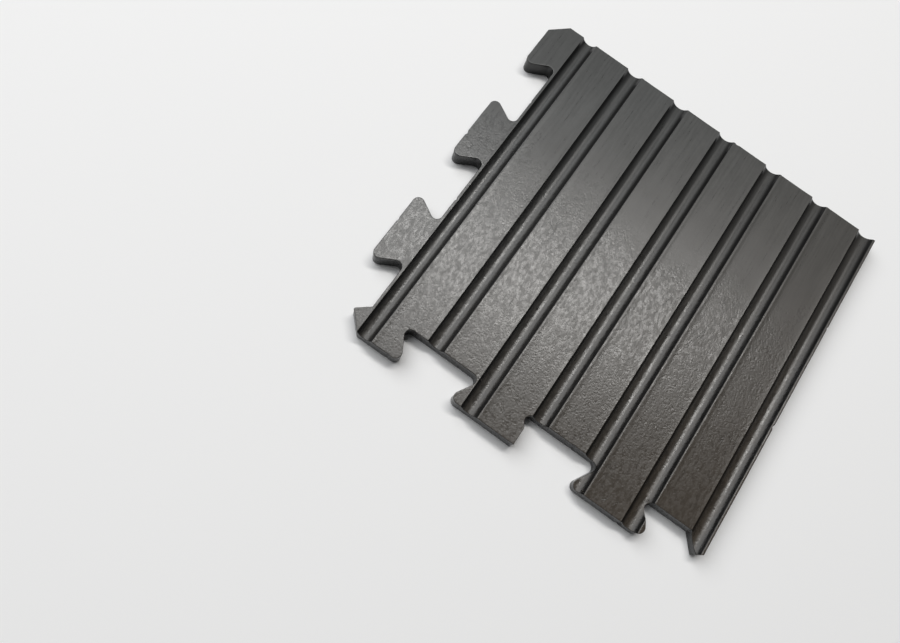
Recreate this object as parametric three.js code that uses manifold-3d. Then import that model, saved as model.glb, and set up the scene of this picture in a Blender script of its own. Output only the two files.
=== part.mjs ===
// A cut piece of interlocking rubber stall mat, lying flat with its channelled face up.
// One moulded sheet: round-bottomed drain channels run the whole way from the far edge (+Y)
// to the near edge (-Y), and dovetail tabs and sockets run along the left edge (-X) and the near edge.
// Millimetres, +Z up, origin at the middle of the outline's box on the underside.
import * as THREE from 'three';
import { mergeVertices } from 'three/addons/utils/BufferGeometryUtils.js';
import Module from 'manifold-3d';

// The sheet without its tabs.
const bodyLength = 274.8;
const thickness = 13.5;
const rimWidth = 2.2; // solid rib left outside the first and the last channel

// The channels in the upper face.
const channelCount = 7;
const channelPitch = 43.7;
const channelWidth = 13.2;
const firstChannelWidth = 11.8;
const channelDepth = 4.2;
const shoulder = 0.5; // eased edge where a channel meets the flat strip beside it
const channelSteps = 14;

// The dovetail tabs and sockets, the same on both edges.
const tabPitch = 100;
const tabDepth = 23.8;
const socketWidth = 50.4; // half way in
const flankAngle = 30; // degrees off square to the edge
const headRadius = 4.8; // rounding of the tabs' outer corners
const rootRadius = 4.2; // rounding of the sockets' inner corners
const cornerSteps = 7;
const leftSocketCount = 2;
const leftSocketStart = 69.4; // first socket's middle, from the far edge
const nearSocketCount = 2;
const nearSocketStart = 58; // first socket's middle, from the sheet's left side

// The far left corner, the near left corner and the near right corner.
const farChamfer = 13;
const cornerTabStart = 2.9; // where the corner tab leaves the left edge, past the near sockets' floors
const cornerTabReach = 10;
const cornerTabDrop = 8.4;
const cornerTipRadius = 1.4;
const hornWidth = 14; // the pointed end of the last channel, at its root
const hornTipInset = 4;
const hornTipDepth = 11.6;
const hornSideDepth = 9;
const trimmedTab = 1; // this near tab, counted from 0 at the left, has its right side cut straight
const trimmedWidth = 7.8; // how far in from the tab's widest point it is cut

const bodyWidth = rimWidth + firstChannelWidth + (channelCount - 1) * channelPitch + rimWidth;
const nearEdge = -bodyLength;
const tabEdge = nearEdge - tabDepth;
const leftTabEdge = -tabDepth;
const flankSlope = Math.tan(THREE.MathUtils.degToRad(flankAngle));

// Half a socket's width at its mouth and at its floor.
function socketHalves() {
  const run = tabDepth * flankSlope;
  return [(socketWidth - run) / 2, (socketWidth + run) / 2];
}

// Where channel number index starts and ends, from the sheet's left side.
function channelSpan(index) {
  const end = rimWidth + firstChannelWidth + index * channelPitch;
  const start = index === 0 ? rimWidth : end - channelWidth;
  return { start, end };
}

// The sheet's section across the channels, as points from the lower left corner, counterclockwise.
function sectionPoints(reach) {
  const points = [new THREE.Vector2(-reach, 0), new THREE.Vector2(bodyWidth + reach, 0)];
  points.push(new THREE.Vector2(bodyWidth + reach, thickness));
  for (let index = channelCount - 1; index >= 0; index -= 1) {
    const { start, end } = channelSpan(index);
    const half = (end - start) / 2;
    const radius = (half * half + channelDepth * channelDepth) / (2 * channelDepth);
    const centreHeight = thickness - channelDepth + radius;
    const easedAngle = Math.acos((centreHeight - thickness + shoulder) / radius);
    points.push(new THREE.Vector2(end + shoulder, thickness));
    for (let step = 0; step <= channelSteps; step += 1) {
      const angle = easedAngle * (1 - (2 * step) / channelSteps);
      const x = start + half + radius * Math.sin(angle);
      points.push(new THREE.Vector2(x, centreHeight - radius * Math.cos(angle)));
    }
    points.push(new THREE.Vector2(start - shoulder, thickness));
  }
  points.push(new THREE.Vector2(-reach, thickness));
  return points;
}

// A closed outline whose corners, each given as [x, y, radius], are rounded with arcs.
function roundedOutline(corners) {
  const points = [];
  corners.forEach(([x, y, radius], index) => {
    const corner = new THREE.Vector2(x, y);
    if (!radius) {
      points.push(corner);
      return;
    }
    const [lastX, lastY] = corners[(index + corners.length - 1) % corners.length];
    const [nextX, nextY] = corners[(index + 1) % corners.length];
    const back = new THREE.Vector2(lastX, lastY).sub(corner).normalize();
    const ahead = new THREE.Vector2(nextX, nextY).sub(corner).normalize();
    const halfAngle = Math.acos(back.dot(ahead)) / 2;
    const inward = back.clone().add(ahead).normalize();
    const centre = corner.clone().addScaledVector(inward, radius / Math.sin(halfAngle));
    const sweep = Math.PI - 2 * halfAngle;
    const turn = Math.sign(back.x * ahead.y - back.y * ahead.x);
    for (let step = 0; step <= cornerSteps; step += 1) {
      const angle = turn * (sweep / 2 - (sweep * step) / cornerSteps);
      points.push(inward.clone().multiplyScalar(-radius).rotateAround(new THREE.Vector2(), angle).add(centre));
    }
  });
  return points;
}

// The plan of the sheet with its tabs, from the far right corner, counterclockwise.
function planCorners() {
  const corners = [
    [bodyWidth, 0, 0],
    [leftTabEdge + farChamfer, 0, 0],
    [leftTabEdge, -farChamfer, 0],
  ];
  // Down the left edge: each socket's mouth, floor, floor and mouth.
  for (let index = 0; index <= leftSocketCount; index += 1) {
    const middle = -leftSocketStart - index * tabPitch;
    const [mouth, floor] = socketHalves();
    corners.push([leftTabEdge, middle + mouth, headRadius]);
    corners.push([0, middle + floor, rootRadius]);
    if (index < leftSocketCount) {
      corners.push([0, middle - floor, rootRadius]);
      corners.push([leftTabEdge, middle - mouth, headRadius]);
    }
  }
  corners.push([0, nearEdge - cornerTabStart, 0]);
  const cornerTipY = nearEdge - cornerTabStart - cornerTabDrop;
  corners.push([-cornerTabReach, cornerTipY, cornerTipRadius]);
  corners.push([-cornerTabReach + (cornerTipY - tabEdge), tabEdge, 0]);
  // Along the near edge.
  for (let index = 0; index <= nearSocketCount; index += 1) {
    const middle = nearSocketStart + index * tabPitch;
    const [mouth, floor] = socketHalves();
    if (index === trimmedTab) {
      corners.push([middle - mouth - trimmedWidth, tabEdge, 0]);
      corners.push([middle - mouth - trimmedWidth, tabEdge + trimmedWidth / flankSlope, 0]);
    } else {
      corners.push([middle - mouth, tabEdge, headRadius]);
    }
    corners.push([middle - floor, nearEdge, rootRadius]);
    if (index < nearSocketCount) {
      corners.push([middle + floor, nearEdge, rootRadius]);
      corners.push([middle + mouth, tabEdge, headRadius]);
    }
  }
  corners.push([bodyWidth - hornWidth, nearEdge, 0]);
  corners.push([bodyWidth - hornTipInset, nearEdge - hornTipDepth, 0]);
  corners.push([bodyWidth, nearEdge - hornSideDepth, 0]);
  return corners;
}

const cutOverrun = 5; // how far the plan and the section reach past each other
const weldDistance = 1e-4;

const wasm = await Module();
wasm.setup();

function toSolid(geometry) {
  const bare = geometry.clone();
  bare.deleteAttribute('normal');
  bare.deleteAttribute('uv');
  const merged = mergeVertices(bare, weldDistance);
  const vertProperties = Float32Array.from(merged.attributes.position.array);
  const triVerts = Uint32Array.from(merged.index.array);
  return new wasm.Manifold(new wasm.Mesh({ numProp: 3, vertProperties, triVerts }));
}

function toGeometry(solid) {
  const mesh = solid.getMesh();
  const geometry = new THREE.BufferGeometry();
  geometry.setAttribute('position', new THREE.BufferAttribute(mesh.vertProperties, 3));
  geometry.setIndex(new THREE.BufferAttribute(mesh.triVerts, 1));
  geometry.computeVertexNormals();
  return geometry;
}

// The channelled section, pushed from past the near tabs to past the far edge.
function channelledSlab() {
  const section = new THREE.Shape(sectionPoints(tabDepth + cutOverrun));
  const length = bodyLength + tabDepth + 2 * cutOverrun;
  const slab = new THREE.ExtrudeGeometry(section, { depth: length, bevelEnabled: false });
  slab.rotateX(Math.PI / 2);
  slab.translate(0, cutOverrun, 0);
  return slab;
}

// The plan, as tall as it takes to cut the slab.
function planCutter() {
  const plan = new THREE.Shape(roundedOutline(planCorners()));
  const cutter = new THREE.ExtrudeGeometry(plan, { depth: thickness + 2 * cutOverrun, bevelEnabled: false });
  cutter.translate(0, 0, -cutOverrun);
  return cutter;
}

const matGeometry = toGeometry(toSolid(channelledSlab()).intersect(toSolid(planCutter())));
const rubber = new THREE.MeshStandardMaterial({ color: 0x3b3a38, roughness: 0.55, metalness: 0 });
const stallMat = new THREE.Mesh(matGeometry, rubber);
stallMat.name = 'stall_mat';
stallMat.position.set((tabDepth - bodyWidth) / 2, (bodyLength + tabDepth) / 2, 0);

const mat = new THREE.Group();
mat.add(stallMat);

export default mat;
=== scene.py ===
import math

import bmesh
import bpy
from mathutils import Matrix, Quaternion, Vector, noise
from mathutils.geometry import delaunay_2d_cdt


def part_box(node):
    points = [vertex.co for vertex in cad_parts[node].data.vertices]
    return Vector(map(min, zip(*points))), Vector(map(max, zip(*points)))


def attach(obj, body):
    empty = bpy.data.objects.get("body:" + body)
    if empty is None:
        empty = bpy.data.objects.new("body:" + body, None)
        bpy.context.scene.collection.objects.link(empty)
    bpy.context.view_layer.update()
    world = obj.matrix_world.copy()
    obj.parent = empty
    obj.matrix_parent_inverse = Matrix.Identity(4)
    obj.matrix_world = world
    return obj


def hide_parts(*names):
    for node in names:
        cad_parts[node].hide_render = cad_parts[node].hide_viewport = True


# A cut piece of interlocking rubber stall mat: one moulded sheet with drain channels
# and dovetail tabs. Metres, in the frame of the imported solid.
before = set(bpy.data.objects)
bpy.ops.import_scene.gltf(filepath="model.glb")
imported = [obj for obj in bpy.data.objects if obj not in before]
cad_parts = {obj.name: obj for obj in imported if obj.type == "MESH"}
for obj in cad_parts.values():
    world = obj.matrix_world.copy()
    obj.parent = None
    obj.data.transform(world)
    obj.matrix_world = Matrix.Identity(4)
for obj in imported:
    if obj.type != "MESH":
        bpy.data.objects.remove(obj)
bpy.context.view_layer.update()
lowCorner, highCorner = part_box("stall_mat")
print("frame loaded")

# The sheet's plan and section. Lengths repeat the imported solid's own.
sheet = {
    "rimWidth": 0.0022,  # solid rib outside the first and the last channel
    "channelCount": 7,
    "channelPitch": 0.0437,
    "channelWidth": 0.0132,
    "firstChannelWidth": 0.0118,
    "channelDepth": 0.0042,
    "leftShoulder": 0.0003,  # how soft the edge on each side of a channel is
    "rightShoulder": 0.0026,
    "lipHeight": 0.00016,  # the lips along a channel stand this much above the strips
    "lipOffset": 0.0012,  # the right lip's middle, from its channel
    "lipWidth": 0.0017,
    "lipRise": 0.0026,  # the left lip fades over this
    "tabPitch": 0.1,
    "tabDepth": 0.0238,
    "socketWidth": 0.0504,  # half way in
    "flankAngle": 30,  # degrees off square to the edge
    "headRadius": 0.0048,
    "rootRadius": 0.0042,
    "leftSockets": 2,
    "leftSocketStart": 0.0694,
    "nearSockets": 2,
    "nearSocketStart": 0.058,
    "farChamfer": 0.013,
    "cornerTab": (0.0029, 0.01, 0.0084, 0.0014),  # start, reach, drop, tip radius
    "horn": (0.014, 0.004, 0.0116, 0.009),  # width, tip inset, tip depth, side depth
    "trimmedTab": 1,  # this near tab has its right side cut straight
    "trimmedWidth": 0.0078,
    "edgeRounding": 0.0004,
    "footRounding": 0.0004,
    "waviness": 0.00018,
    "wavinessScale": 26.0,  # scales are waves to a metre
    "edgeWander": 0.00025,
    "edgeWanderScale": 90,
    "fineWander": 0.00008,
    "fineWanderScale": 420,
    "wallWaver": 0.0002,
    "wallWaverScale": (150, 260),  # along the outline, up the wall
    "sharpestCorner": 0.55,  # keeps a corner's normal from growing too long
    "outlineStep": 0.0009,  # from here on, how fine the mesh is
    "rowStep": 0.003,
    "wallRows": 5,
    "arcLines": 9,  # in each half of a channel
    "stripLines": 8,
    "leftLines": (-3.2, -2.2, -1.4, -0.8, -0.35, -0.12, 0.0, 0.15),  # millimetres from a channel's edge
    "rightLines": (-0.3, -0.1, 0.1, 0.3, 0.55, 0.85, 1.3, 1.9, 2.4, 2.9, 3.4, 4.0),
    "tabLineStart": 0.0008,  # the first line over the left tabs
    "boxMargin": 0.0001,  # no line runs this close to the box
    "rimAngles": (0, 30, 52, 70, 90),  # the rings round the upper edge, in degrees
    "innerRing": 2.2,  # in roundings from the outline
    "rowMargin": 3,  # the same, for the ends of the rows
    "lineOverrun": 0.0004,
    "footAngles": (35, 65, 90),
    "undersideRows": 3,  # the underside's points are this many rows apart
    "undersideMargin": 0.002,
    "columnShift": 0.00001,  # keeps a column off the outline's own points
    "weldDistance": 0.000002,
    "tiny": 0.0000001,  # shorter edges are dropped
}

# Small bites out of the outline: x, y, half width, depth.
edgeNicks = [
    (-0.1511, 0.0215, 0.0022, 0.0009),
    (-0.1273, 0.0738, 0.0014, 0.0006),
    (-0.1273, -0.0272, 0.0016, 0.0008),
    (-0.1511, -0.0655, 0.0015, 0.0006),
    (-0.0995, -0.1493, 0.0016, 0.0006),
    (0.0395, -0.1255, 0.0018, 0.0005),
    (0.0935, -0.1493, 0.0020, 0.0006),
    (0.1511, -0.0292, 0.0024, 0.0008),
    (0.1511, 0.0610, 0.0016, 0.0005),
    (0.0210, 0.1493, 0.0020, 0.0005),
]

thickness = highCorner.z - lowCorner.z
bodyLeft = lowCorner.x + sheet["tabDepth"]
farEdge = highCorner.y
nearEdge = lowCorner.y + sheet["tabDepth"]


def channelSpan(index):
    end = bodyLeft + sheet["rimWidth"] + sheet["firstChannelWidth"] + index * sheet["channelPitch"]
    width = sheet["firstChannelWidth"] if index == 0 else sheet["channelWidth"]
    return end - width, end


# The corners of the plan, counterclockwise, each with its rounding.
def planCorners():
    left, right, near = lowCorner.x, highCorner.x, lowCorner.y
    head, root = sheet["headRadius"], sheet["rootRadius"]
    slope = math.tan(math.radians(sheet["flankAngle"]))
    mouth = (sheet["socketWidth"] - sheet["tabDepth"] * slope) / 2
    floor = (sheet["socketWidth"] + sheet["tabDepth"] * slope) / 2
    corners = [
        (right, farEdge, 0),
        (left + sheet["farChamfer"], farEdge, 0),
        (left, farEdge - sheet["farChamfer"], 0),
    ]
    for index in range(sheet["leftSockets"] + 1):
        middle = farEdge - sheet["leftSocketStart"] - index * sheet["tabPitch"]
        corners += [(left, middle + mouth, head), (bodyLeft, middle + floor, root)]
        if index < sheet["leftSockets"]:
            corners += [(bodyLeft, middle - floor, root), (left, middle - mouth, head)]
    start, reach, drop, tipRadius = sheet["cornerTab"]
    tipY = nearEdge - start - drop
    corners += [
        (bodyLeft, nearEdge - start, 0),
        (bodyLeft - reach, tipY, tipRadius),
        (bodyLeft - reach + tipY - near, near, 0),
    ]
    for index in range(sheet["nearSockets"] + 1):
        middle = bodyLeft + sheet["nearSocketStart"] + index * sheet["tabPitch"]
        if index == sheet["trimmedTab"]:
            cut = middle - mouth - sheet["trimmedWidth"]
            corners += [(cut, near, 0), (cut, near + sheet["trimmedWidth"] / slope, 0)]
        else:
            corners += [(middle - mouth, near, head)]
        corners += [(middle - floor, nearEdge, root)]
        if index < sheet["nearSockets"]:
            corners += [(middle + floor, nearEdge, root), (middle + mouth, near, head)]
    width, tipInset, tipDepth, sideDepth = sheet["horn"]
    corners += [
        (right - width, nearEdge, 0),
        (right - tipInset, nearEdge - tipDepth, 0),
        (right, nearEdge - sideDepth, 0),
    ]
    return corners


def roundedOutline(corners, step):
    points = []
    for index, (x, y, radius) in enumerate(corners):
        corner = Vector((x, y))
        if radius == 0:
            points.append(corner)
            continue
        back = (Vector(corners[index - 1][:2]) - corner).normalized()
        ahead = (Vector(corners[(index + 1) % len(corners)][:2]) - corner).normalized()
        halfAngle = back.angle(ahead) / 2
        inward = (back + ahead).normalized()
        centre = corner + inward * (radius / math.sin(halfAngle))
        sweep = math.pi - 2 * halfAngle
        turn = math.copysign(1, back.x * ahead.y - back.y * ahead.x)
        steps = math.ceil(sweep * radius / step)
        for k in range(steps + 1):
            angle = turn * (sweep / 2 - sweep * k / steps)
            points.append(centre + Matrix.Rotation(angle, 2) @ (inward * -radius))
    dense = []
    for index, point in enumerate(points):
        ahead = points[(index + 1) % len(points)]
        pieces = max(1, round((ahead - point).length / step))
        dense += [point.lerp(ahead, k / pieces) for k in range(pieces)]
    return dense


# The inward normal at each point of a counterclockwise outline, lengthened at corners.
def inwardNormals(points):
    normals = []
    for index, point in enumerate(points):
        back = (point - points[index - 1]).normalized()
        ahead = (points[(index + 1) % len(points)] - point).normalized()
        tangent = (back + ahead).normalized()
        normal = Vector((-tangent.y, tangent.x))
        square = normal.dot(Vector((-ahead.y, ahead.x)))
        normals.append(normal / max(sheet["sharpestCorner"], square))
    return normals


# Noise from about 0 to 1 in the plan. Another layer is another pattern.
def planNoise(point, scale, layer):
    return 0.5 + 0.5 * noise.noise(Vector((point.x * scale, point.y * scale, layer)))


def wornOutline(points):
    normals = inwardNormals(points)
    floorBounce = []
    for point, normal in zip(points, normals):
        slow = planNoise(point, sheet["edgeWanderScale"], 1.7)
        fine = planNoise(point, sheet["fineWanderScale"], 8.1)
        push = sheet["edgeWander"] * slow + sheet["fineWander"] * fine
        for x, y, halfWidth, depth in edgeNicks:
            distance = (point - Vector((x, y))).length / halfWidth
            if distance < 1:
                push += depth * (1 - distance * distance) ** 2
        floorBounce.append(point + normal * push)
    return floorBounce


# The x of each mesh line that runs the sheet's length: close together in the channels.
def profileLines():
    lines = []
    depth = sheet["channelDepth"]
    arcLines, stripLines = sheet["arcLines"], sheet["stripLines"]
    for index in range(sheet["channelCount"]):
        start, end = channelSpan(index)
        half = (end - start) / 2
        middle = start + half
        radius = (half * half + depth * depth) / (2 * depth)
        reach = math.asin(half / radius)
        lines += [middle + radius * math.sin(reach * (k / arcLines)) for k in range(1 - arcLines, arcLines)]
        lines += [start + 0.001 * shift for shift in sheet["leftLines"]]
        lines += [end + 0.001 * shift for shift in sheet["rightLines"]]
        following = end + sheet["channelPitch"] - sheet["channelWidth"]
        if index < sheet["channelCount"] - 1:
            lines += [end + (following - end) * k / stripLines for k in range(2, stripLines - 1)]
    left = bodyLeft - sheet["tabLineStart"]
    while left > lowCorner.x:
        lines.append(left)
        left -= sheet["rowStep"]
    margin = sheet["boxMargin"]
    return sorted(x for x in lines if lowCorner.x + margin < x < highCorner.x - margin)


# Where the line at x crosses the outline, from near to far.
def crossings(outline, x):
    found = []
    for index, point in enumerate(outline):
        ahead = outline[(index + 1) % len(outline)]
        if (point.x - x) * (ahead.x - x) < 0:
            found.append(point.y + (ahead.y - point.y) * (x - point.x) / (ahead.x - point.x))
    return sorted(found)


# A flat mesh of triangles through all points and edges, kept only inside the outline.
def insideMesh(name, points, edges, outlineFace):
    made = delaunay_2d_cdt(points, edges, [outlineFace], 0, sheet["tiny"], True)
    spots, _, faces, _, _, fromFaces = made
    kept = [face for face, source in zip(faces, fromFaces) if source]
    used = sorted({corner for face in kept for corner in face})
    place = {old: new for new, old in enumerate(used)}
    mesh = bpy.data.meshes.new(name)
    mesh.from_pydata([(*spots[old], 0) for old in used], [], [[place[k] for k in face] for face in kept])
    return mesh


# The plan as a flat mesh: rings along its outline and lines along its channels.
def flatSkin(outline):
    rounding = sheet["edgeRounding"]
    points, edges = [], []
    normals = inwardNormals(outline)
    insets = [rounding * (1 - math.cos(math.radians(angle))) for angle in sheet["rimAngles"]]
    for inset in insets + [rounding * sheet["innerRing"]]:
        first = len(points)
        points += [point + normal * inset for point, normal in zip(outline, normals)]
        ring = range(first, len(points))
        edges += [(a, b) for a, b in zip(ring, [*ring[1:], first])]
    margin = rounding * sheet["rowMargin"]
    overrun = sheet["lineOverrun"]
    step = sheet["rowStep"]
    for x in profileLines():
        cuts = crossings(outline, x)
        for near, far in zip(cuts[::2], cuts[1::2]):
            firstRow = math.ceil((near + margin) / step)
            lastRow = math.floor((far - margin) / step)
            rows = [k * step for k in range(firstRow, lastRow + 1)]
            first = len(points)
            points += [Vector((x, y)) for y in [near - overrun, *rows, far + overrun]]
            line = range(first, len(points))
            edges += list(zip(line[:-1], line[1:]))
    face = list(range(len(outline)))
    return insideMesh("matSkin", points, edges, face)


outline = wornOutline(roundedOutline(planCorners(), sheet["outlineStep"]))
skin = flatSkin(outline)
print("plan meshed:", len(outline), "outline points,", len(skin.polygons), "faces")


# A node of a tree, with its unlinked inputs set by name or by number.
def addNode(tree, kind, settings=None, inputs=None):
    node = tree.nodes.new(kind)
    for name, value in (settings or {}).items():
        setattr(node, name, value)
    for name, value in (inputs or {}).items():
        if isinstance(value, bpy.types.NodeSocket):
            tree.links.new(value, node.inputs[name])
        else:
            node.inputs[name].default_value = value
    return node


def mathNode(tree, operation, *values):
    return addNode(tree, "ShaderNodeMath", {"operation": operation}, dict(enumerate(values))).outputs[0]


def treeInput(tree, name, kind, value=None):
    socket = tree.interface.new_socket(name, in_out="INPUT", socket_type=kind)
    if value is not None:
        socket.default_value = value


# Sets a modifier's inputs by name, through each socket's identifier.
def setInputs(modifier, values):
    for item in modifier.node_group.interface.items_tree:
        if item.item_type == "SOCKET" and item.in_out == "INPUT" and item.name in values:
            modifier[item.identifier] = values[item.name]


# Geometry Nodes that press the channels into a flat sheet and round its rim.
def channelTree():
    tree = bpy.data.node_groups.new("channelledSheet", "GeometryNodeTree")
    treeInput(tree, "Geometry", "NodeSocketGeometry")
    sizes = ("Thickness", "First End", "First Width", "Width", "Pitch", "Count", "Depth",
             "Left Shoulder", "Right Shoulder", "Lip Height", "Lip Offset", "Lip Width", "Rim Width",
             "Rounding", "Waviness", "Waviness Scale")
    for name in sizes:
        treeInput(tree, name, "NodeSocketFloat")
    treeInput(tree, "Material", "NodeSocketMaterial")
    tree.interface.new_socket("Geometry", in_out="OUTPUT", socket_type="NodeSocketGeometry")
    given = tree.nodes.new("NodeGroupInput").outputs
    result = tree.nodes.new("NodeGroupOutput")

    def calc(operation, *values):
        return mathNode(tree, operation, *values)

    position = tree.nodes.new("GeometryNodeInputPosition").outputs[0]
    place = addNode(tree, "ShaderNodeSeparateXYZ", inputs={0: position}).outputs
    # Which channel a point is nearest to, and how far it is from that channel's middle.
    along = calc("SUBTRACT", place[0], given["First End"])
    halfWidth = calc("MULTIPLY", given["Width"], 0.5)
    rough = calc("ROUND", calc("DIVIDE", calc("ADD", along, halfWidth), given["Pitch"]))
    last = calc("SUBTRACT", given["Count"], 1.0)
    index = calc("MINIMUM", calc("MAXIMUM", rough, 0.0), last)
    isFirst = calc("LESS_THAN", index, 0.5)
    narrower = calc("MULTIPLY", isFirst, calc("SUBTRACT", given["First Width"], given["Width"]))
    half = calc("MULTIPLY", calc("ADD", given["Width"], narrower), 0.5)
    across = calc("ADD", calc("SUBTRACT", along, calc("MULTIPLY", index, given["Pitch"])), half)
    # The round trough: an arc through both edges, eased into the strips beside it.
    halfSquared = calc("MULTIPLY", half, half)
    depthSquared = calc("MULTIPLY", given["Depth"], given["Depth"])
    radius = calc("DIVIDE", calc("ADD", halfSquared, depthSquared), calc("MULTIPLY", given["Depth"], 2.0))
    under = calc("SUBTRACT", calc("MULTIPLY", radius, radius), calc("MULTIPLY", across, across))
    centre = calc("SUBTRACT", radius, given["Depth"])
    arc = calc("SUBTRACT", centre, calc("SQRT", calc("MAXIMUM", under, 0.0)))
    isRight = calc("GREATER_THAN", across, 0.0)
    softer = calc("MULTIPLY", isRight, calc("SUBTRACT", given["Right Shoulder"], given["Left Shoulder"]))
    shoulder = calc("ADD", given["Left Shoulder"], softer)
    trough = calc("SMOOTH_MIN", arc, 0.0, shoulder)
    # The strips lie a little lower than the lips along both sides of each channel.
    pastLip = calc("SUBTRACT", calc("SUBTRACT", across, half), given["Lip Offset"])
    fromLip = calc("DIVIDE", pastLip, given["Lip Width"])
    rightLip = calc("EXPONENT", calc("MULTIPLY", calc("MULTIPLY", fromLip, fromLip), -1.0))
    fromRim = calc("DIVIDE", calc("ADD", across, half), given["Rim Width"])
    leftLip = calc("EXPONENT", calc("MULTIPLY", calc("ABSOLUTE", fromRim), -1.0))
    away = calc("MULTIPLY", calc("SUBTRACT", 1.0, leftLip), calc("SUBTRACT", 1.0, rightLip))
    trough = calc("SUBTRACT", trough, calc("MULTIPLY", away, given["Lip Height"]))
    # The rim, rounded by the distance to the outline.
    neighbours = tree.nodes.new("GeometryNodeInputMeshEdgeNeighbors").outputs[0]
    isRim = addNode(tree, "FunctionNodeCompare", {"data_type": "INT", "operation": "EQUAL"},
                    {2: neighbours, 3: 1})
    rim = addNode(tree, "GeometryNodeSeparateGeometry", {"domain": "EDGE"},
                  {"Geometry": given["Geometry"], "Selection": isRim.outputs[0]})
    nearness = addNode(tree, "GeometryNodeProximity", {"target_element": "EDGES"},
                       {"Geometry": rim.outputs["Selection"], "Sample Position": position})
    distance = nearness.outputs["Distance"]
    short = calc("MAXIMUM", calc("SUBTRACT", given["Rounding"], distance), 0.0)
    roundSquared = calc("MULTIPLY", given["Rounding"], given["Rounding"])
    rise = calc("SQRT", calc("MAXIMUM", calc("SUBTRACT", roundSquared, calc("MULTIPLY", short, short)), 0.0))
    drop = calc("SUBTRACT", given["Rounding"], rise)
    swell = addNode(tree, "ShaderNodeTexNoise", {"noise_dimensions": "3D"},
                    {"Vector": position, "Scale": given["Waviness Scale"], "Detail": 1.0}).outputs[0]
    sag = calc("MULTIPLY", swell, given["Waviness"])
    height = calc("ADD", given["Thickness"], calc("SUBTRACT", trough, calc("ADD", drop, sag)))
    moved = addNode(tree, "ShaderNodeCombineXYZ", inputs={0: place[0], 1: place[1], 2: height}).outputs[0]
    # What the finish reads: the distance to the outline and to a channel's edge, negative inside it.
    toLip = calc("SUBTRACT", calc("ABSOLUTE", across), half)
    kept = given["Geometry"]
    for name, value in (("rimDistance", distance), ("lipDistance", toLip)):
        kept = addNode(tree, "GeometryNodeStoreNamedAttribute", {"data_type": "FLOAT", "domain": "POINT"},
                       {"Geometry": kept, "Name": name, "Value": value}).outputs[0]
    shaped = addNode(tree, "GeometryNodeSetPosition", inputs={"Geometry": kept, "Position": moved})
    real = addNode(tree, "GeometryNodeRealizeInstances", inputs={"Geometry": shaped.outputs[0]})
    finished = addNode(tree, "GeometryNodeSetMaterial",
                       inputs={"Geometry": real.outputs[0], "Material": given["Material"]})
    tree.links.new(finished.outputs[0], result.inputs[0])
    return tree


# Runs a tree on an object and puts the plain mesh that comes out in its place.
def bakeTree(thing, tree, values):
    modifier = thing.modifiers.new(tree.name, "NODES")
    modifier.node_group = tree
    setInputs(modifier, values)
    bpy.context.view_layer.update()
    evaluated = thing.evaluated_get(bpy.context.evaluated_depsgraph_get())
    made = bpy.data.meshes.new_from_object(evaluated)
    thing.modifiers.clear()
    thing.data = made
    return thing


def newObject(name, mesh):
    thing = bpy.data.objects.new(name, mesh)
    bpy.context.scene.collection.objects.link(thing)
    return thing


# The open rim of a skin as one loop of vertices, counterclockwise from above.
def rimLoop(skinMesh):
    ahead = {}
    for edge in skinMesh.edges:
        if edge.is_boundary:
            loop = edge.link_loops[0]
            ahead[loop.vert] = loop.link_loop_next.vert
    start = next(iter(ahead))
    ring = [start]
    while ahead[ring[-1]] is not start:
        ring.append(ahead[ring[-1]])
    return ring


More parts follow.
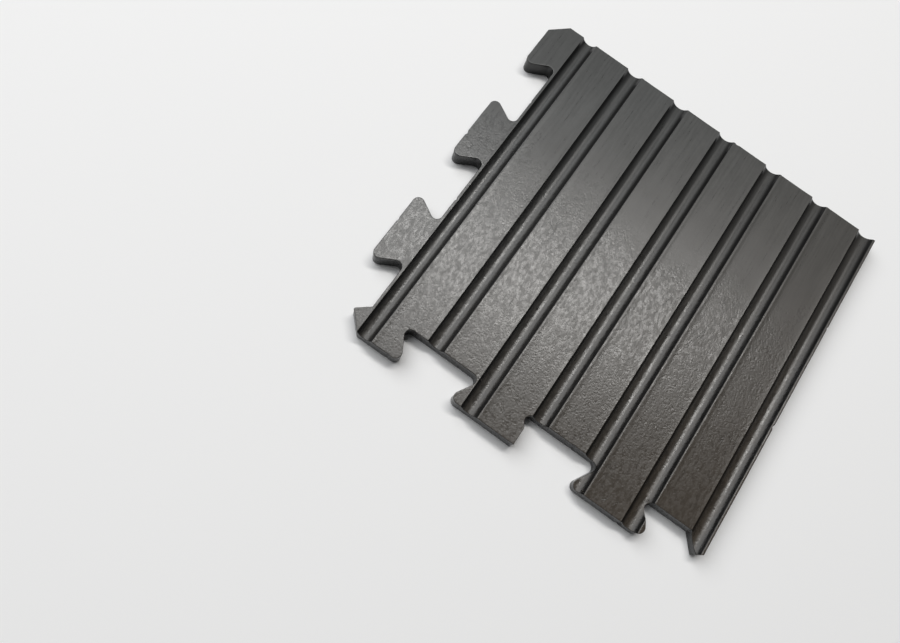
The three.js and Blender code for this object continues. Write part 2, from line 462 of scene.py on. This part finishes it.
# Closes the pressed skin with its walls and its underside.
def closeSheet(mesh):
    solid = bmesh.new()
    solid.from_mesh(mesh)
    solid.normal_update()
    if sum(face.normal.z for face in solid.faces) < 0:
        bmesh.ops.reverse_faces(solid, faces=solid.faces)
    ring = rimLoop(solid)
    plan = [vert.co.xy for vert in ring]
    normals = inwardNormals(plan)
    foot = sheet["footRounding"]
    rows = [(k / sheet["wallRows"], 0.0, 0.0) for k in range(1, sheet["wallRows"] + 1)]
    rows += [(1.0, foot * (1 - math.cos(math.radians(angle))), foot * math.sin(math.radians(angle)))
             for angle in sheet["footAngles"]]
    along, up = sheet["wallWaverScale"]
    above = ring
    for share, inset, lower in rows:
        below = []
        for vert, flat, normal in zip(ring, plan, normals):
            level = vert.co.z + (lowCorner.z + foot - vert.co.z) * share - lower
            waver = noise.noise(Vector((flat.x * along, flat.y * along, level * up)))
            bulge = sheet["wallWaver"] * math.sin(math.pi * share) * (0.6 + 0.4 * waver)
            spot = flat + normal * (inset + bulge)
            below.append(solid.verts.new((spot.x, spot.y, level)))
        for a, b in zip(range(-1, len(ring) - 1), range(len(ring))):
            wall = solid.faces.new((above[b], above[a], below[a], below[b]))
            wall.material_index = 1
        above = below
    edge = [vert.co.xy for vert in above]
    step = sheet["rowStep"] * sheet["undersideRows"]
    margin = sheet["undersideMargin"]
    inner = []
    for column in range(math.ceil(lowCorner.x / step), math.floor(highCorner.x / step) + 1):
        cuts = crossings(edge, column * step + sheet["columnShift"])
        for near, far in zip(cuts[::2], cuts[1::2]):
            firstRow = math.ceil((near + margin) / step)
            lastRow = math.floor((far - margin) / step)
            inner += [Vector((column * step, k * step)) for k in range(firstRow, lastRow + 1)]
    sides = [(k, (k + 1) % len(edge)) for k in range(len(edge))]
    underside = insideMesh("matUnderside", edge + inner, sides, list(range(len(edge))))
    floorVerts = [solid.verts.new((v.co.x, v.co.y, lowCorner.z)) for v in underside.vertices]
    for triangle in underside.polygons:
        below = solid.faces.new([floorVerts[k] for k in reversed(triangle.vertices)])
        below.material_index = 1
    bpy.data.meshes.remove(underside)
    bmesh.ops.remove_doubles(solid, verts=above + floorVerts, dist=sheet["weldDistance"])
    bmesh.ops.dissolve_degenerate(solid, dist=sheet["tiny"], edges=solid.edges)
    gaps = [edge for edge in solid.edges if edge.is_boundary]
    bmesh.ops.holes_fill(solid, edges=gaps, sides=0)
    for face in solid.faces:
        face.smooth = True
    solid.to_mesh(mesh)
    openEdges = sum(not edge.is_manifold for edge in solid.edges)
    solid.free()
    return openEdges


channels = channelTree()
mat = newObject("rubber_sheet", skin)
bakeTree(mat, channels, {
    "Thickness": thickness,
    "First End": channelSpan(0)[1],
    "First Width": sheet["firstChannelWidth"],
    "Width": sheet["channelWidth"],
    "Pitch": sheet["channelPitch"],
    "Count": float(sheet["channelCount"]),
    "Depth": sheet["channelDepth"],
    "Left Shoulder": sheet["leftShoulder"],
    "Right Shoulder": sheet["rightShoulder"],
    "Lip Height": sheet["lipHeight"],
    "Lip Offset": sheet["lipOffset"],
    "Lip Width": sheet["lipWidth"],
    "Rim Width": sheet["lipRise"],
    "Rounding": sheet["edgeRounding"],
    "Waviness": sheet["waviness"],
    "Waviness Scale": sheet["wavinessScale"],
})
openEdges = closeSheet(mat.data)
print("sheet closed:", len(mat.data.polygons), "faces,", openEdges, "open edges")

# Torn flash at the roots and corners, and crumbs in the channels. Each spot: x, y, z,
# how far its curls spread, and the size of one curl. Some curls still stand clear of the
# sheet, over the sixth channel and beside the pointed end.
tornFlash = {
    "spots": [
        (-0.0992, -0.1260, 0.0128, 0.0021, 0.00100),
        (-0.0966, -0.1254, 0.0128, 0.0017, 0.00100),
        (-0.0396, -0.1262, 0.0128, 0.0017, 0.00100),
        (-0.0004, -0.1258, 0.0128, 0.0021, 0.00100),
        (-0.1318, 0.0104, 0.0128, 0.0014, 0.00080),
        (-0.1325, -0.0899, 0.0128, 0.0015, 0.00080),
        (-0.1290, -0.1310, 0.0128, 0.0010, 0.00080),
        (0.0590, -0.1470, 0.0126, 0.0010, 0.00090),
        (0.1000, -0.1248, 0.0128, 0.0018, 0.00070),
        (0.1160, -0.1248, 0.0128, 0.0020, 0.00070),
        (-0.0342, -0.0582, 0.0098, 0.0003, 0.00070),
        (0.1350, -0.1270, 0.0110, 0.0008, 0.00060),
    ],
    "curls": 5,  # at each spot
    "turns": 0.8,
    "thickness": 0.26,  # this and the next two are shares of a curl's own radius
    "innerRadius": 0.5,
    "rise": 0.7,
    "steps": 14,
    "sides": 6,
    "spreadRange": ((-1.0, -0.55, -0.4), (1.0, 0.55, 0.1)),
    "turnRange": ((0.6, -0.7, 0.0), (1.9, 0.7, math.tau)),
    "sizeRange": (0.55, 1.0),
    "seed": 11,
}


# Geometry Nodes that put a few small curls of rubber around each point.
def curlTree():
    tree = bpy.data.node_groups.new("tornCurls", "GeometryNodeTree")
    treeInput(tree, "Geometry", "NodeSocketGeometry")
    for name in ("Turns", "Thickness", "Inner Radius", "Rise"):
        treeInput(tree, name, "NodeSocketFloat")
    for name in ("Curls", "Steps", "Sides", "Seed"):
        treeInput(tree, name, "NodeSocketInt")
    treeInput(tree, "Material", "NodeSocketMaterial")
    tree.interface.new_socket("Geometry", in_out="OUTPUT", socket_type="NodeSocketGeometry")
    given = tree.nodes.new("NodeGroupInput").outputs
    result = tree.nodes.new("NodeGroupOutput")

    def kept(name):
        node = addNode(tree, "GeometryNodeInputNamedAttribute", {"data_type": "FLOAT"}, {"Name": name})
        return node.outputs["Attribute"]

    def randomVector(low, high):
        node = addNode(tree, "FunctionNodeRandomValue", {"data_type": "FLOAT_VECTOR"},
                       {0: low, 1: high, "Seed": given["Seed"]})
        return node.outputs[0]

    many = addNode(tree, "GeometryNodeDuplicateElements", {"domain": "POINT"},
                   {"Geometry": given["Geometry"], "Amount": given["Curls"]})
    away = addNode(tree, "ShaderNodeVectorMath", {"operation": "SCALE"},
                   {0: randomVector(*tornFlash["spreadRange"]), "Scale": kept("spread")})
    spread = addNode(tree, "GeometryNodeSetPosition",
                     inputs={"Geometry": many.outputs["Geometry"], "Offset": away.outputs[0]})
    spiral = addNode(tree, "GeometryNodeCurveSpiral", inputs={
        "Resolution": given["Steps"], "Rotations": given["Turns"], "Start Radius": 1.0,
        "End Radius": given["Inner Radius"], "Height": given["Rise"]})
    ring = addNode(tree, "GeometryNodeCurvePrimitiveCircle", inputs={
        "Resolution": given["Sides"], "Radius": given["Thickness"]})
    curl = addNode(tree, "GeometryNodeCurveToMesh", inputs={
        "Curve": spiral.outputs[0], "Profile Curve": ring.outputs[0], "Fill Caps": True})
    smallest, largest = tornFlash["sizeRange"]
    sizes = addNode(tree, "FunctionNodeRandomValue", {"data_type": "FLOAT"},
                    {2: smallest, 3: largest, "Seed": given["Seed"]}).outputs[1]
    placed = addNode(tree, "GeometryNodeInstanceOnPoints", inputs={
        "Points": spread.outputs[0], "Instance": curl.outputs[0],
        "Rotation": randomVector(*tornFlash["turnRange"]),
        "Scale": mathNode(tree, "MULTIPLY", sizes, kept("curlSize"))})
    real = addNode(tree, "GeometryNodeRealizeInstances", inputs={"Geometry": placed.outputs[0]})
    soft = addNode(tree, "GeometryNodeSetShadeSmooth", inputs={"Geometry": real.outputs[0]})
    finished = addNode(tree, "GeometryNodeSetMaterial",
                       inputs={"Geometry": soft.outputs[0], "Material": given["Material"]})
    tree.links.new(finished.outputs[0], result.inputs[0])
    return tree


def tornCurls(material):
    spots = tornFlash["spots"]
    mesh = bpy.data.meshes.new("tornSpots")
    mesh.from_pydata([spot[:3] for spot in spots], [], [])
    for name, column in (("spread", 3), ("curlSize", 4)):
        values = mesh.attributes.new(name, "FLOAT", "POINT")
        values.data.foreach_set("value", [spot[column] for spot in spots])
    curls = newObject("torn_flash", mesh)
    bakeTree(curls, curlTree(), {
        "Turns": tornFlash["turns"],
        "Thickness": tornFlash["thickness"],
        "Inner Radius": tornFlash["innerRadius"],
        "Rise": tornFlash["rise"],
        "Curls": tornFlash["curls"],
        "Steps": tornFlash["steps"],
        "Sides": tornFlash["sides"],
        "Seed": tornFlash["seed"],
        "Material": material,
    })
    print("torn flash:", len(curls.data.polygons), "faces")
    return curls


# Plain studio: a pale floor and a faint white room.
studio = {
    "floorColor": (0.88, 0.88, 0.88, 1.0),
    "floorSize": 6.0,
    "floorRoughness": 0.9,
    "floorSpecular": 0.1,
    "roomLight": 0.05,
}

# Two soft lamps: place, width, depth, turn in degrees, power, colour. Both aim at the origin.
lamps = {
    "keyLamp": ((0.012, 1.196, 2.93), 2.0, 0.51, 18.7, 41.0, (1.0, 0.985, 0.96)),
    "wideLamp": ((-2.0, 0.453, 2.80), 3.67, 3.67, 0.0, 100.0, (0.98, 0.99, 1.0)),
}

# The camera stands past the near edge, left of the middle, and looks steeply down, turned about its axis.
view = {
    "place": (-0.0619, -0.2646, 0.5291),
    "aim": (-0.0784, -0.1051, 0.0135),
    "turn": 29.97,  # degrees
    "lens": 31.4,
    "nearest": 0.01,
}


def placeCamera():
    camera = bpy.data.objects.new("camera", bpy.data.cameras.new("camera"))
    bpy.context.scene.collection.objects.link(camera)
    camera.data.lens = view["lens"]
    camera.data.clip_start = view["nearest"]
    camera.location = view["place"]
    ahead = Vector(view["aim"]) - Vector(view["place"])
    camera.rotation_mode = "QUATERNION"
    turned = Quaternion((0, 0, 1), math.radians(view["turn"]))
    camera.rotation_quaternion = ahead.to_track_quat("-Z", "Y") @ turned
    bpy.context.scene.camera = camera


def lightStudio():
    for name, (place, width, depth, turn, power, colour) in lamps.items():
        lamp = bpy.data.lights.new(name, "AREA")
        lamp.shape = "ELLIPSE"
        lamp.size = width
        lamp.size_y = depth
        lamp.energy = power
        lamp.color = colour
        holder = bpy.data.objects.new(name, lamp)
        bpy.context.scene.collection.objects.link(holder)
        holder.location = place
        holder.rotation_mode = "QUATERNION"
        towards = (-Vector(place)).to_track_quat("-Z", "Y")
        holder.rotation_quaternion = towards @ Quaternion((0, 0, 1), math.radians(turn))
    world = bpy.data.worlds.new("room")
    world.use_nodes = True
    background = world.node_tree.nodes["Background"]
    background.inputs["Color"].default_value = (1.0, 1.0, 1.0, 1.0)
    background.inputs["Strength"].default_value = studio["roomLight"]
    bpy.context.scene.world = world


def layFloor():
    half = studio["floorSize"] / 2
    level = lowCorner.z
    mesh = bpy.data.meshes.new("floor")
    corners = [(-half, -half, level), (half, -half, level), (half, half, level), (-half, half, level)]
    mesh.from_pydata(corners, [], [(0, 1, 2, 3)])
    floor = newObject("floor", mesh)
    paper = bpy.data.materials.new("palePaper")
    paper.use_nodes = True
    shader = paper.node_tree.nodes["Principled BSDF"]
    shader.inputs["Base Color"].default_value = studio["floorColor"]
    shader.inputs["Roughness"].default_value = studio["floorRoughness"]
    shader.inputs["Specular IOR Level"].default_value = studio["floorSpecular"]
    mesh.materials.append(paper)


# Small helpers for the shader groups.
def newGroup(name, inputs, outputs):
    tree = bpy.data.node_groups.new(name, "ShaderNodeTree")
    for label, value in inputs.items():
        kind = "NodeSocketVector" if isinstance(value, tuple) else "NodeSocketFloat"
        treeInput(tree, label, kind, value)
    for label in outputs:
        tree.interface.new_socket(label, in_out="OUTPUT", socket_type="NodeSocketFloat")
    return tree, tree.nodes.new("NodeGroupInput").outputs, tree.nodes.new("NodeGroupOutput").inputs


def useGroup(tree, group, values):
    return addNode(tree, "ShaderNodeGroup", {"node_tree": group}, values).outputs


def noiseValue(tree, vector, scale, detail=2.0, roughness=0.5):
    node = addNode(tree, "ShaderNodeTexNoise", inputs={
        "Vector": vector, "Scale": scale, "Detail": detail, "Roughness": roughness})
    return node.outputs["Fac"]


def ramp(tree, value, low, high):
    node = addNode(tree, "ShaderNodeMapRange", {"interpolation_type": "SMOOTHSTEP"},
                   {"Value": value, "From Min": low, "From Max": high})
    return node.outputs[0]


def stretched(tree, vector, scale, turn=0.0):
    node = addNode(tree, "ShaderNodeMapping", {"vector_type": "POINT"},
                   {"Vector": vector, "Scale": scale, "Rotation": (0.0, 0.0, turn)})
    return node.outputs[0]


# Skin of moulded rubber: pebbled grain and the drag of the mould along the channels.
def rubberGrain():
    tree, given, out = newGroup("rubberGrain", {
        "Vector": (0.0, 0.0, 0.0), "Pebble Size": 1.1, "Pebble Height": 0.01,
        "Drag Width": 1.6, "Drag Height": 0.006}, ("Height", "Pebble", "Drag"))
    vector = given["Vector"]
    pebbleScale = mathNode(tree, "DIVIDE", 1.0, given["Pebble Size"])
    coarse = noiseValue(tree, vector, pebbleScale, 3.0, 0.62)
    cells = addNode(tree, "ShaderNodeTexVoronoi", {"feature": "SMOOTH_F1"},
                    {"Vector": vector, "Scale": pebbleScale, "Smoothness": 0.6}).outputs["Distance"]
    cellShare = -0.5
    pebble = mathNode(tree, "ADD", coarse, mathNode(tree, "MULTIPLY", cells, cellShare))
    alongChannels = (1.0, 0.045, 1.0)  # stretches a pattern along Y
    dragScale = mathNode(tree, "DIVIDE", 1.0, given["Drag Width"])
    drag = noiseValue(tree, stretched(tree, vector, alongChannels), dragScale, 2.0, 0.55)
    height = mathNode(tree, "ADD", mathNode(tree, "MULTIPLY", pebble, given["Pebble Height"]),
                      mathNode(tree, "MULTIPLY", drag, given["Drag Height"]))
    tree.links.new(height, out["Height"])
    tree.links.new(pebble, out["Pebble"])
    tree.links.new(drag, out["Drag"])
    return tree


# Rubbed and dusty patches of two sizes.
def rubbedPatches():
    tree, given, out = newGroup("rubbedPatches", {
        "Vector": (0.0, 0.0, 0.0), "Size": 40.0, "Fleck Size": 5.0, "Threshold": 0.5}, ("Patch", "Fleck"))
    vector = given["Vector"]
    broad = noiseValue(tree, vector, mathNode(tree, "DIVIDE", 1.0, given["Size"]), 3.0, 0.55)
    small = noiseValue(tree, stretched(tree, vector, (1.0, 0.55, 1.0), 0.5),
                       mathNode(tree, "DIVIDE", 1.0, given["Fleck Size"]), 4.0, 0.6)
    softness = 0.14
    low = mathNode(tree, "SUBTRACT", given["Threshold"], softness)
    high = mathNode(tree, "ADD", given["Threshold"], softness)
    tree.links.new(ramp(tree, broad, low, high), out["Patch"])
    tree.links.new(ramp(tree, small, low, high), out["Fleck"])
    return tree


# Hair-fine scratches: the walls of long thin cells, broken up so that few are left.
def hairScratches():
    tree, given, out = newGroup("hairScratches", {
        "Vector": (0.0, 0.0, 0.0), "Spacing": 9.0, "Line Width": 0.012, "Length": 9.0,
        "Turn": 0.2, "Sparseness": 0.6}, ("Line",))
    bendScale = 0.035  # slow bends, to a millimetre
    bendReach = 14.0
    gapScale = 0.045
    fade = 0.05
    wander = addNode(tree, "ShaderNodeTexNoise", inputs={"Vector": given["Vector"], "Scale": bendScale})
    bends = addNode(tree, "ShaderNodeVectorMath", {"operation": "SCALE"},
                    {0: wander.outputs["Color"], "Scale": bendReach}).outputs[0]
    bent = addNode(tree, "ShaderNodeVectorMath", {"operation": "ADD"},
                   {0: given["Vector"], 1: bends}).outputs[0]
    spin = addNode(tree, "ShaderNodeVectorRotate", {"rotation_type": "Z_AXIS"},
                   {"Vector": bent, "Angle": given["Turn"]}).outputs[0]
    parts = addNode(tree, "ShaderNodeSeparateXYZ", inputs={0: spin}).outputs
    long = mathNode(tree, "DIVIDE", parts[1], mathNode(tree, "MULTIPLY", given["Spacing"], given["Length"]))
    cross = mathNode(tree, "DIVIDE", parts[0], given["Spacing"])
    thin = addNode(tree, "ShaderNodeCombineXYZ", inputs={0: cross, 1: long}).outputs[0]
    walls = addNode(tree, "ShaderNodeTexVoronoi", {"feature": "DISTANCE_TO_EDGE", "voronoi_dimensions": "2D"},
                    {"Vector": thin, "Scale": 1.0}).outputs["Distance"]
    line = mathNode(tree, "SUBTRACT", 1.0, ramp(tree, walls, 0.0, given["Line Width"]))
    gaps = noiseValue(tree, given["Vector"], gapScale, 2.0, 0.6)
    kept = ramp(tree, gaps, given["Sparseness"], mathNode(tree, "ADD", given["Sparseness"], fade))
    tree.links.new(mathNode(tree, "MULTIPLY", line, kept), out["Line"])
    return tree


shaderGroups = {"grain": rubberGrain(), "patches": rubbedPatches(), "scratches": hairScratches()}

def mixColor(tree, share, first, second):
    node = addNode(tree, "ShaderNodeMix", {"data_type": "RGBA"})
    for socket, value in ((node.inputs[0], share), (node.inputs[6], first), (node.inputs[7], second)):
        if isinstance(value, bpy.types.NodeSocket):
            tree.links.new(value, socket)
        else:
            socket.default_value = value
    return node.outputs[2]


def attributeValue(tree, name):
    node = addNode(tree, "ShaderNodeAttribute", {"attribute_type": "GEOMETRY", "attribute_name": name})
    return node.outputs["Fac"]


def inMillimetres(tree):
    place = tree.nodes.new("ShaderNodeTexCoord").outputs["Object"]
    scaled = addNode(tree, "ShaderNodeVectorMath", {"operation": "SCALE"}, {0: place, "Scale": 1000.0})
    return scaled.outputs[0]


# A bump from a height in millimetres.
def addBump(tree, shader, height):
    bump = addNode(tree, "ShaderNodeBump", inputs={"Strength": 1.0, "Distance": 0.001, "Height": height})
    tree.links.new(bump.outputs[0], shader.inputs["Normal"])


def newRubber(name, specular):
    rubber = bpy.data.materials.new(name)
    rubber.use_nodes = True
    shader = rubber.node_tree.nodes["Principled BSDF"]
    shader.inputs["Specular IOR Level"].default_value = specular
    return rubber, rubber.node_tree, shader


# The moulded face's finish. Colours are linear; sizes, places and heights are millimetres.
faceFinish = {
    "cleanColor": (0.006, 0.006, 0.006, 1.0),
    "farColor": (0.066, 0.068, 0.067, 1.0),  # bloom and fine dust on what faces up
    "nearColor": (0.050, 0.041, 0.032, 1.0),
    "farColorPlace": -190.0,  # X less Y
    "nearColorPlace": 230.0,
    "dustAndShadeFacing": (0.62, 0.98),  # how far a spot faces up before dust stays on it; steeper walls stay near black, which also paints shade on the channel walls
    "dust": 0.9,
    "fleckDust": 0.30,
    "cloudDust": -0.6,
    "dragDust": 0.5,
    "rimWearAndSheen": 0.6,  # the lips and rims are paler: partly wear, partly a painted highlight along the edges
    "rimWearAndSheenWidth": 0.8,
    "channelShade": -0.55,
    "channelShadeFrom": -0.4,  # how far inside a channel the painted shade starts
    "channelShadeTo": -1.8,
    "streakScale": 0.22,
    "streakStretch": (1.0, 0.12, 1.0),
    "markColor": (0.003, 0.003, 0.003, 1.0),
    "markHeight": -0.03,
    "markedFrom": 0.2,  # less handled spots have no marks
    "scratches": {"Turn": 0.16, "Sparseness": 0.60},
    "crossScratches": {
        "Turn": -0.75, "Spacing": 13.0, "Length": 5.0, "Line Width": 0.008, "Sparseness": 0.63},
    "roughness": 0.30,
    "patchRoughness": 0.13,
    "cloudRoughness": 0.20,
    "dragRoughness": 0.10,
    "handledRoughness": -0.03,  # rubbed rubber shines a little more
    "specular": 0.45,
    "cloudSize": 7.0,
    "cloudStretch": (1.0, 0.6, 1.0),
    "cloudTurn": 0.3,
    "patchSize": 46.0,
    "fleckSize": 2.6,
    "fleckHeight": 0.02,
    "pebbleSize": 1.5,
    "pebbleHeight": 0.085,
    "dragWidth": 1.7,
    "dragHeight": 0.03,
    "handledFrom": 75.0,  # the far strip of the face, past this Y, is hardly marked
    "handledTo": 25.0,
    "handledLeast": 0.12,
    "handledWander": 26.0,
}


# The moulded face: clean and smooth at the far end, rubbed, dusty and scratched towards the near tabs, with
# painted shade in the channels and on their steep walls and a painted highlight along the lips and rims.
def faceRubber():
    look = faceFinish
    rubber, tree, shader = newRubber("mouldedRubber", look["specular"])
    place = inMillimetres(tree)
    parts = addNode(tree, "ShaderNodeSeparateXYZ", inputs={0: place}).outputs
    patches = useGroup(tree, shaderGroups["patches"], {
        "Vector": place, "Size": look["patchSize"], "Fleck Size": look["fleckSize"]})
    grain = useGroup(tree, shaderGroups["grain"], {
        "Vector": place, "Pebble Size": look["pebbleSize"], "Pebble Height": look["pebbleHeight"],
        "Drag Width": look["dragWidth"], "Drag Height": look["dragHeight"]})
    scratches = useGroup(tree, shaderGroups["scratches"], {"Vector": place, **look["scratches"]})
    crossed = useGroup(tree, shaderGroups["scratches"], {"Vector": place, **look["crossScratches"]})
    # How much each spot has been handled, and what that leaves on it.
    wander = mathNode(tree, "MULTIPLY_ADD", patches["Patch"], look["handledWander"], parts[1])
    handled = addNode(tree, "ShaderNodeMapRange", {"interpolation_type": "SMOOTHSTEP"}, {
        "Value": wander, "From Min": look["handledFrom"], "From Max": look["handledTo"],
        "To Min": look["handledLeast"], "To Max": 1.0}).outputs[0]
    lines = mathNode(tree, "MAXIMUM", scratches["Line"], crossed["Line"])
    marks = mathNode(tree, "MULTIPLY", lines, ramp(tree, handled, look["markedFrom"], 1.0))
    fleck = mathNode(tree, "MULTIPLY", patches["Fleck"], handled)
    patchy = mathNode(tree, "MULTIPLY", mathNode(tree, "SUBTRACT", patches["Fleck"], 0.5), handled)
    dragging = mathNode(tree, "SUBTRACT", grain["Drag"], 0.5)
    drawn = stretched(tree, place, look["cloudStretch"], look["cloudTurn"])
    cloud = noiseValue(tree, drawn, 1.0 / look["cloudSize"], 4.0, 0.65)
    cloudy = mathNode(tree, "MULTIPLY", mathNode(tree, "SUBTRACT", cloud, 0.5), handled)
    # Where dust lies, and how thick. Dust lies only on what faces up, so steep walls stay near black, partly
    # as painted shade; the lips and rims are paler, partly wear and partly a painted highlight; the channels
    # are darker, as painted shade.
    facing = addNode(tree, "ShaderNodeSeparateXYZ", inputs={
        0: tree.nodes.new("ShaderNodeNewGeometry").outputs["Normal"]}).outputs[2]
    # Only what faces up takes dust: real settling, and painted shade on the steep channel walls.
    upFacingDustAndShade = ramp(tree, facing, *look["dustAndShadeFacing"])
    rim = mathNode(tree, "MULTIPLY", attributeValue(tree, "rimDistance"), 1000.0)
    lip = mathNode(tree, "MULTIPLY", attributeValue(tree, "lipDistance"), 1000.0)
    # Paler along the lips and the outline's rim: partly wear, partly a painted highlight where the edges
    # catch light.
    wornAndSheenRims = mathNode(tree, "MAXIMUM", ramp(tree, mathNode(tree, "ABSOLUTE", lip), look["rimWearAndSheenWidth"], 0.0),
                       ramp(tree, rim, look["rimWearAndSheenWidth"], 0.0))
    # Darker inside each channel, in streaks along it: painted shade in the recess.
    inside = ramp(tree, lip, look["channelShadeFrom"], look["channelShadeTo"])
    streaks = noiseValue(tree, stretched(tree, place, look["streakStretch"]), look["streakScale"], 3.0, 0.6)
    paintedChannelShade = mathNode(tree, "MULTIPLY", inside, streaks)
    thick = mathNode(tree, "MULTIPLY_ADD", fleck, look["fleckDust"], look["dust"])
    thick = mathNode(tree, "MULTIPLY_ADD", cloudy, look["cloudDust"], thick)
    thick = mathNode(tree, "MULTIPLY_ADD", wornAndSheenRims, look["rimWearAndSheen"], thick)
    thick = mathNode(tree, "MULTIPLY_ADD", dragging, look["dragDust"], thick)
    thick = mathNode(tree, "MULTIPLY_ADD", paintedChannelShade, look["channelShade"], thick)
    towardsNear = addNode(tree, "ShaderNodeMapRange", inputs={
        "Value": mathNode(tree, "SUBTRACT", parts[0], parts[1]),
        "From Min": look["farColorPlace"], "From Max": look["nearColorPlace"]}).outputs[0]
    tint = mixColor(tree, towardsNear, look["farColor"], look["nearColor"])
    colour = mixColor(tree, mathNode(tree, "MULTIPLY", thick, upFacingDustAndShade), look["cleanColor"], tint)
    colour = mixColor(tree, marks, colour, look["markColor"])
    tree.links.new(colour, shader.inputs["Base Color"])
    rough = mathNode(tree, "MULTIPLY_ADD", patchy, look["patchRoughness"], look["roughness"])
    rough = mathNode(tree, "MULTIPLY_ADD", cloudy, look["cloudRoughness"], rough)
    rough = mathNode(tree, "MULTIPLY_ADD", handled, look["handledRoughness"], rough)
    rough = mathNode(tree, "MULTIPLY_ADD", dragging, look["dragRoughness"], rough)
    tree.links.new(rough, shader.inputs["Roughness"])
    height = mathNode(tree, "MULTIPLY", grain["Height"], handled)
    height = mathNode(tree, "MULTIPLY_ADD", marks, look["markHeight"], height)
    height = mathNode(tree, "MULTIPLY_ADD", fleck, look["fleckHeight"], height)
    addBump(tree, shader, height)
    return rubber


# The sides' finish, in the same units.
sideFinish = {
    "cleanColor": (0.006, 0.006, 0.006, 1.0),
    "floorBounceColor": (0.020, 0.018, 0.016, 1.0),
    "floorBounceFrom": 3.4,  # above the floor
    "floorBounceTo": 1.2,
    "roughness": 0.62,
    "pebbleRoughness": 0.2,
    "specular": 0.12,
    "patchSize": 12.0,
    "fleckSize": 2.5,
    "pebbleSize": 0.8,
    "pebbleHeight": 0.05,
    "dragWidth": 2.4,
    "dragHeight": 0.0,
}


# Cut and moulded sides: matt, nearly black, with a lighter band along the foot that is painted light bounced
# from the pale floor, broken up in patches.
def sideRubber():
    look = sideFinish
    rubber, tree, shader = newRubber("cutRubber", look["specular"])
    place = inMillimetres(tree)
    parts = addNode(tree, "ShaderNodeSeparateXYZ", inputs={0: place}).outputs
    grain = useGroup(tree, shaderGroups["grain"], {
        "Vector": place, "Pebble Size": look["pebbleSize"], "Pebble Height": look["pebbleHeight"],
        "Drag Width": look["dragWidth"], "Drag Height": look["dragHeight"]})
    patches = useGroup(tree, shaderGroups["patches"], {
        "Vector": place, "Size": look["patchSize"], "Fleck Size": look["fleckSize"]})
    # A paler band low on the sides: painted light bounced from the floor, broken up in patches.
    foot = ramp(tree, parts[2], look["floorBounceFrom"], look["floorBounceTo"])
    floorBounce = mathNode(tree, "MULTIPLY", foot, mathNode(tree, "MULTIPLY_ADD", patches["Fleck"], 0.5, 0.5))
    tree.links.new(mixColor(tree, floorBounce, look["cleanColor"], look["floorBounceColor"]), shader.inputs["Base Color"])
    rough = mathNode(tree, "MULTIPLY_ADD", grain["Pebble"], look["pebbleRoughness"], look["roughness"])
    tree.links.new(rough, shader.inputs["Roughness"])
    addBump(tree, shader, grain["Height"])
    return rubber


mat.data.materials.clear()
mat.data.materials.append(faceRubber())
mat.data.materials.append(sideRubber())
curls = tornCurls(mat.data.materials[0])
for piece in (mat, curls):
    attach(piece, "root")
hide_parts("stall_mat")

placeCamera()
lightStudio()
layFloor()
bpy.context.scene.view_settings.view_transform = "Standard"
print("studio ready")
